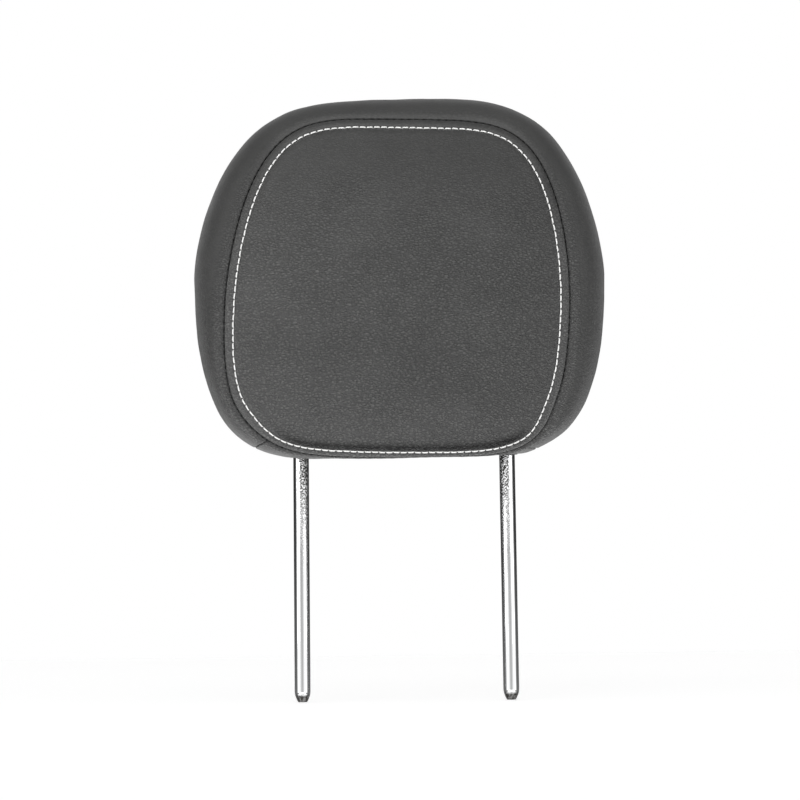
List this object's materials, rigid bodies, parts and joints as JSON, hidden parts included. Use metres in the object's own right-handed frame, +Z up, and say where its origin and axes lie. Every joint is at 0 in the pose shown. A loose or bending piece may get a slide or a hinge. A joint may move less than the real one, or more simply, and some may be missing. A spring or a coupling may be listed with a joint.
{
  "type": "car headrest",
  "caption": "Padded car seat headrest: a sewn dark leather cushion with white top stitching on chromed straight posts that plug into a seat back.",
  "frame": {"origin": "midway between the lower ends of the two posts, at the level of their flat tips", "axes": "+X to the right as seen from the front, -Y towards the sitter's head, +Z up along the posts"},
  "size_m": [0.2636, 0.1115, 0.3836],
  "materials": {
    "chrome": "bright polished chrome plating",
    "leather": "fine-grained dark grey leather with a low sheen",
    "foam": "open-cell moulded polyurethane foam",
    "moulding": "black moulded polypropylene",
    "strip": "black extruded plastic strip",
    "zinc": "zinc-plated steel",
    "top_thread": "off-white bonded polyester thread",
    "seam_thread": "black bonded polyester thread"
  },
  "bodies": {
    "root": {"post_rod": "chrome", "core_front_half": "moulding", "core_rear_half": "moulding", "core_screw_1": "zinc", "core_screw_2": "zinc", "core_screw_3": "zinc", "core_screw_4": "zinc", "foam_pad": "foam", "cover_front_panel": "leather", "cover_gusset": "leather", "cover_back_panel": "leather", "cover_bottom_front_flap": "leather", "cover_bottom_rear_flap": "leather", "closure_strip_front": "strip", "closure_strip_rear": "strip", "post_grommet_left": "moulding", "post_grommet_right": "moulding", "top_stitch_thread": "top_thread", "front_seam_thread": "seam_thread", "back_seam_thread": "seam_thread", "bottom_seam_thread_left": "seam_thread", "bottom_seam_thread_right": "seam_thread"}
  },
  "joints": []
}
